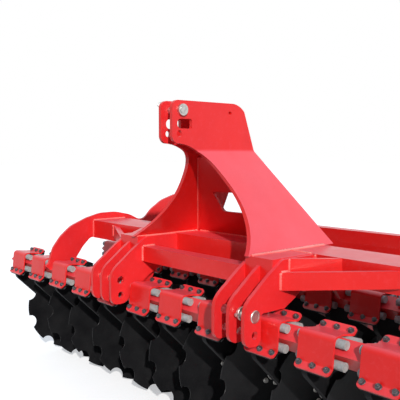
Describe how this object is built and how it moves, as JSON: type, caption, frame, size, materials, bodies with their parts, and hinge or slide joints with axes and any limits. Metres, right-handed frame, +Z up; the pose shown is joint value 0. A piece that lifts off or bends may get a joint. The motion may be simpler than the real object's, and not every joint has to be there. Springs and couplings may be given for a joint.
{
  "type": "mounted compact disc harrow",
  "caption": "Mounted compact disc harrow: notched dished discs on rubber-sprung arms under two gang beams, with a three-point headstock and a rear cage roller.",
  "frame": {"origin": "on the ground under the middle of the machine's box", "axes": "+X across the machine to its right seen from behind the tractor's back towards it, +Y rearward away from the tractor, +Z up"},
  "size_m": [3.2887, 1.8985, 1.446],
  "materials": {
    "frame_paint": "glossy bright red enamel",
    "arm_paint": "satin black",
    "disc_steel": "black painted hardened steel",
    "rubber": "matt grey-black rubber cord",
    "zinc_steel": "zinc plated steel"
  },
  "bodies": {
    "frame": {"front_beam": "frame_paint", "rear_beam": "frame_paint", "front_clamp_caps": "frame_paint", "rear_clamp_caps": "frame_paint", "front_arms": "arm_paint", "rear_arms": "arm_paint", "front_rubber_rods": "rubber", "rear_rubber_rods": "rubber", "main_cross_beam": "frame_paint", "front_cross_tube": "frame_paint", "hitch_rails": "frame_paint", "outer_side_plates": "frame_paint", "roller_stop_pins": "zinc_steel", "beam_hanger_plates": "frame_paint", "lower_link_plates": "frame_paint", "lower_link_pins": "zinc_steel", "diagonal_braces": "frame_paint", "brace_gussets": "frame_paint", "tower_right": "frame_paint", "tower_left": "frame_paint", "tower_web": "frame_paint", "top_link_pin": "zinc_steel", "rear_cross_tube": "frame_paint", "roller_pivot_pins": "zinc_steel"},
    "front_disc_01": {"front_disc_01": "disc_steel"},
    "front_disc_02": {"front_disc_02": "disc_steel"},
    "front_disc_03": {"front_disc_03": "disc_steel"},
    "front_disc_04": {"front_disc_04": "disc_steel"},
    "front_disc_05": {"front_disc_05": "disc_steel"},
    "front_disc_06": {"front_disc_06": "disc_steel"},
    "front_disc_07": {"front_disc_07": "disc_steel"},
    "front_disc_08": {"front_disc_08": "disc_steel"},
    "front_disc_09": {"front_disc_09": "disc_steel"},
    "front_disc_10": {"front_disc_10": "disc_steel"},
    "front_disc_11": {"front_disc_11": "disc_steel"},
    "front_disc_12": {"front_disc_12": "disc_steel"},
    "front_disc_13": {"front_disc_13": "disc_steel"},
    "rear_disc_01": {"rear_disc_01": "disc_steel"},
    "rear_disc_02": {"rear_disc_02": "disc_steel"},
    "rear_disc_03": {"rear_disc_03": "disc_steel"},
    "rear_disc_04": {"rear_disc_04": "disc_steel"},
    "rear_disc_05": {"rear_disc_05": "disc_steel"},
    "rear_disc_06": {"rear_disc_06": "disc_steel"},
    "rear_disc_07": {"rear_disc_07": "disc_steel"},
    "rear_disc_08": {"rear_disc_08": "disc_steel"},
    "rear_disc_09": {"rear_disc_09": "disc_steel"},
    "rear_disc_10": {"rear_disc_10": "disc_steel"},
    "rear_disc_11": {"rear_disc_11": "disc_steel"},
    "rear_disc_12": {"rear_disc_12": "disc_steel"},
    "rear_disc_13": {"rear_disc_13": "disc_steel"},
    "roller_frame": {"roller_arms": "frame_paint", "roller_frame_tube": "frame_paint", "roller_end_plates": "frame_paint", "roller_bearings": "arm_paint"},
    "roller": {"roller_shaft": "frame_paint", "roller_rings": "frame_paint", "roller_bars": "frame_paint"}
  },
  "joints": [
    {"name": "front_disc_01_spin", "type": "hinge", "parent": "frame", "child": "front_disc_01", "pos_m": [-1.4375, -0.5223, 0.28], "axis": [0.9563, -0.2924, 0], "continuous": true},
    {"name": "front_disc_02_spin", "type": "hinge", "parent": "frame", "child": "front_disc_02", "pos_m": [-1.1875, -0.5223, 0.28], "axis": [0.9563, -0.2924, 0], "continuous": true},
    {"name": "front_disc_03_spin", "type": "hinge", "parent": "frame", "child": "front_disc_03", "pos_m": [-0.9375, -0.5223, 0.28], "axis": [0.9563, -0.2924, 0], "continuous": true},
    {"name": "front_disc_04_spin", "type": "hinge", "parent": "frame", "child": "front_disc_04", "pos_m": [-0.6875, -0.5223, 0.28], "axis": [0.9563, -0.2924, 0], "continuous": true},
    {"name": "front_disc_05_spin", "type": "hinge", "parent": "frame", "child": "front_disc_05", "pos_m": [-0.4375, -0.5223, 0.28], "axis": [0.9563, -0.2924, 0], "continuous": true},
    {"name": "front_disc_06_spin", "type": "hinge", "parent": "frame", "child": "front_disc_06", "pos_m": [-0.1875, -0.5223, 0.28], "axis": [0.9563, -0.2924, 0], "continuous": true},
    {"name": "front_disc_07_spin", "type": "hinge", "parent": "frame", "child": "front_disc_07", "pos_m": [0.0345, -0.5223, 0.28], "axis": [0.9563, -0.2924, 0], "continuous": true},
    {"name": "front_disc_08_spin", "type": "hinge", "parent": "frame", "child": "front_disc_08", "pos_m": [0.2965, -0.5223, 0.28], "axis": [0.9563, -0.2924, 0], "continuous": true},
    {"name": "front_disc_09_spin", "type": "hinge", "parent": "frame", "child": "front_disc_09", "pos_m": [0.5735, -0.5223, 0.28], "axis": [0.9563, -0.2924, 0], "continuous": true},
    {"name": "front_disc_10_spin", "type": "hinge", "parent": "frame", "child": "front_disc_10", "pos_m": [0.8125, -0.5223, 0.28], "axis": [0.9563, -0.2924, 0], "continuous": true},
    {"name": "front_disc_11_spin", "type": "hinge", "parent": "frame", "child": "front_disc_11", "pos_m": [1.0625, -0.5223, 0.28], "axis": [0.9563, -0.2924, 0], "continuous": true},
    {"name": "front_disc_12_spin", "type": "hinge", "parent": "frame", "child": "front_disc_12", "pos_m": [1.3125, -0.5223, 0.28], "axis": [0.9563, -0.2924, 0], "continuous": true},
    {"name": "front_disc_13_spin", "type": "hinge", "parent": "frame", "child": "front_disc_13", "pos_m": [1.5625, -0.5223, 0.28], "axis": [0.9563, -0.2924, 0], "continuous": true},
    {"name": "rear_disc_01_spin", "type": "hinge", "parent": "frame", "child": "rear_disc_01", "pos_m": [-1.5625, 0.1277, 0.28], "axis": [-0.9563, -0.2924, 0], "continuous": true},
    {"name": "rear_disc_02_spin", "type": "hinge", "parent": "frame", "child": "rear_disc_02", "pos_m": [-1.3125, 0.1277, 0.28], "axis": [-0.9563, -0.2924, 0], "continuous": true},
    {"name": "rear_disc_03_spin", "type": "hinge", "parent": "frame", "child": "rear_disc_03", "pos_m": [-1.0625, 0.1277, 0.28], "axis": [-0.9563, -0.2924, 0], "continuous": true},
    {"name": "rear_disc_04_spin", "type": "hinge", "parent": "frame", "child": "rear_disc_04", "pos_m": [-0.8125, 0.1277, 0.28], "axis": [-0.9563, -0.2924, 0], "continuous": true},
    {"name": "rear_disc_05_spin", "type": "hinge", "parent": "frame", "child": "rear_disc_05", "pos_m": [-0.5625, 0.1277, 0.28], "axis": [-0.9563, -0.2924, 0], "continuous": true},
    {"name": "rear_disc_06_spin", "type": "hinge", "parent": "frame", "child": "rear_disc_06", "pos_m": [-0.3125, 0.1277, 0.28], "axis": [-0.9563, -0.2924, 0], "continuous": true},
    {"name": "rear_disc_07_spin", "type": "hinge", "parent": "frame", "child": "rear_disc_07", "pos_m": [-0.0625, 0.1277, 0.28], "axis": [-0.9563, -0.2924, 0], "continuous": true},
    {"name": "rear_disc_08_spin", "type": "hinge", "parent": "frame", "child": "rear_disc_08", "pos_m": [0.1875, 0.1277, 0.28], "axis": [-0.9563, -0.2924, 0], "continuous": true},
    {"name": "rear_disc_09_spin", "type": "hinge", "parent": "frame", "child": "rear_disc_09", "pos_m": [0.4375, 0.1277, 0.28], "axis": [-0.9563, -0.2924, 0], "continuous": true},
    {"name": "rear_disc_10_spin", "type": "hinge", "parent": "frame", "child": "rear_disc_10", "pos_m": [0.6875, 0.1277, 0.28], "axis": [-0.9563, -0.2924, 0], "continuous": true},
    {"name": "rear_disc_11_spin", "type": "hinge", "parent": "frame", "child": "rear_disc_11", "pos_m": [0.9375, 0.1277, 0.28], "axis": [-0.9563, -0.2924, 0], "continuous": true},
    {"name": "rear_disc_12_spin", "type": "hinge", "parent": "frame", "child": "rear_disc_12", "pos_m": [1.1875, 0.1277, 0.28], "axis": [-0.9563, -0.2924, 0], "continuous": true},
    {"name": "rear_disc_13_spin", "type": "hinge", "parent": "frame", "child": "rear_disc_13", "pos_m": [1.4375, 0.1277, 0.28], "axis": [-0.9563, -0.2924, 0], "continuous": true},
    {"name": "roller_depth", "type": "hinge", "parent": "frame", "child": "roller_frame", "pos_m": [0, -0.0493, 0.72], "axis": [1, 0, 0], "range_deg": [-5, 12]},
    {"name": "roller_spin", "type": "hinge", "parent": "roller_frame", "child": "roller", "pos_m": [0, 0.7107, 0.25], "axis": [1, 0, 0], "continuous": true}
  ]
}
